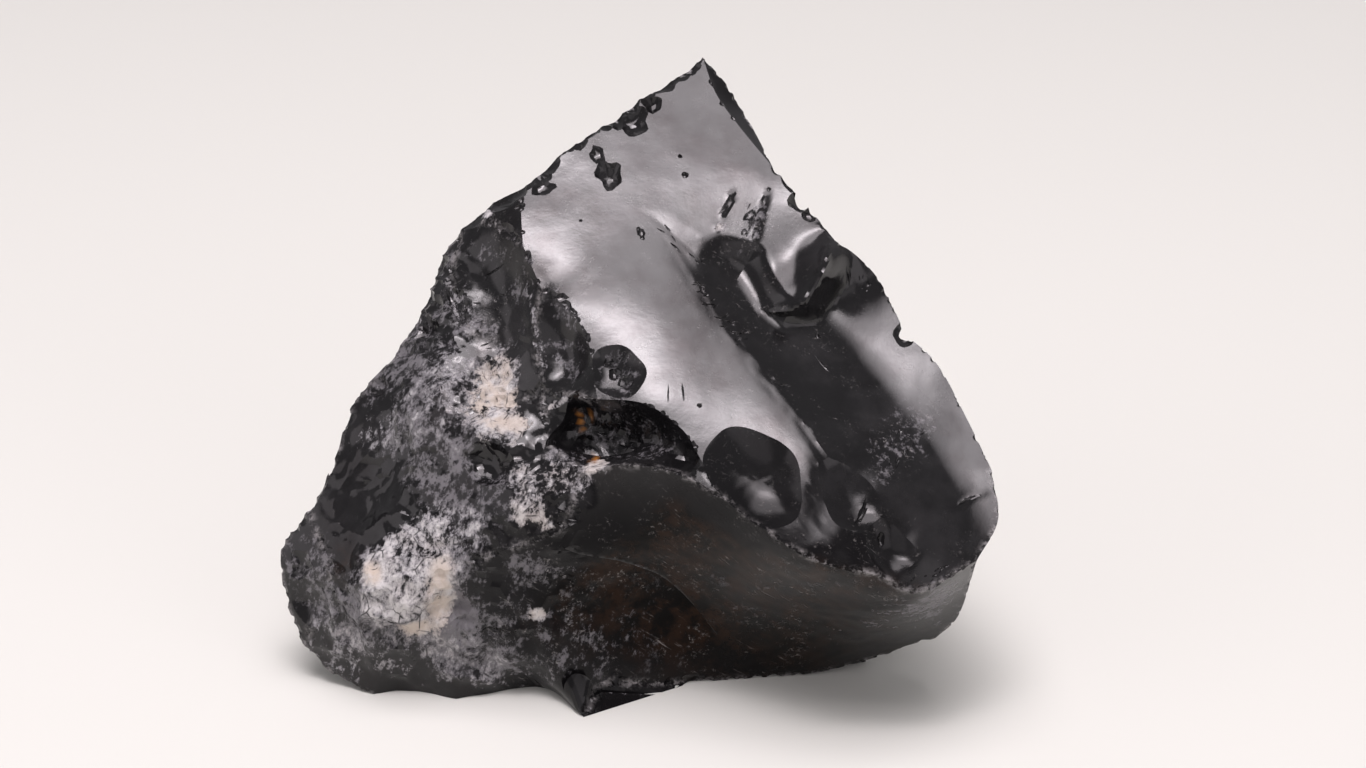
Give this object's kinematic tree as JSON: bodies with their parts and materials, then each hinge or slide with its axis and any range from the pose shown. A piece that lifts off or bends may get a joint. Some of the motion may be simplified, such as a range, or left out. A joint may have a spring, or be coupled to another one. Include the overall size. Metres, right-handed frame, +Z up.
{
  "type": "obsidian chunk",
  "caption": "Small chunk of black volcanic glass with shell-like fracture facets, a pointed crest and a flat underside to rest on.",
  "frame": {"origin": "centre of the stone's outline on the surface it rests on", "axes": "+X to the right as the stone is seen from the front, +Y away from the viewer, +Z up"},
  "size_m": [0.0435, 0.0316, 0.0341],
  "materials": {
    "obsidian": "glassy black fracture faces with a crushed, greyish white patch"
  },
  "bodies": {
    "root": {"obsidian_chunk": "obsidian"}
  },
  "joints": []
}
